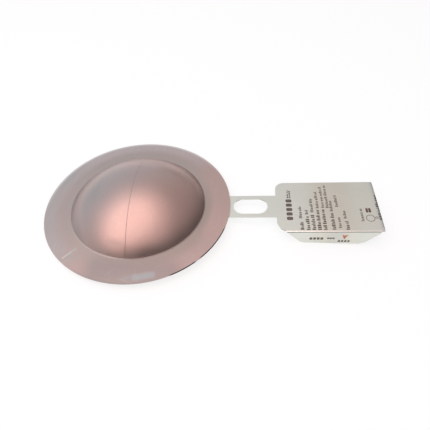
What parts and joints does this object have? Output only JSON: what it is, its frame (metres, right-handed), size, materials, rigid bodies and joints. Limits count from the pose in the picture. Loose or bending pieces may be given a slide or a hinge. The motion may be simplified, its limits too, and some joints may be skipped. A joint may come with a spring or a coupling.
{
  "type": "rupture disc",
  "caption": "Thin metal disc bulged into a shallow scored dome, with a flat clamping rim and a folded data tag on a slotted strip.",
  "frame": {"origin": "centre of the underside of the flat seat, on the disc's axis", "axes": "+Z along the disc's axis towards the crown of the dome; +X along the tag, away from the disc"},
  "size_m": [0.204, 0.1142, 0.0253],
  "materials": {
    "disc_metal": "satin cold-rolled sheet with a faint warm cast, slightly brighter along its edges",
    "tag_steel": "pale satin stainless sheet",
    "marking_ink": "thin dark grey-brown marking printed on the tag",
    "arrow_ink": "thin orange-red ink of the direction sign on the tag's side flap"
  },
  "bodies": {
    "root": {"burst_disc": "disc_metal", "flow_tag": "tag_steel"}
  },
  "joints": []
}
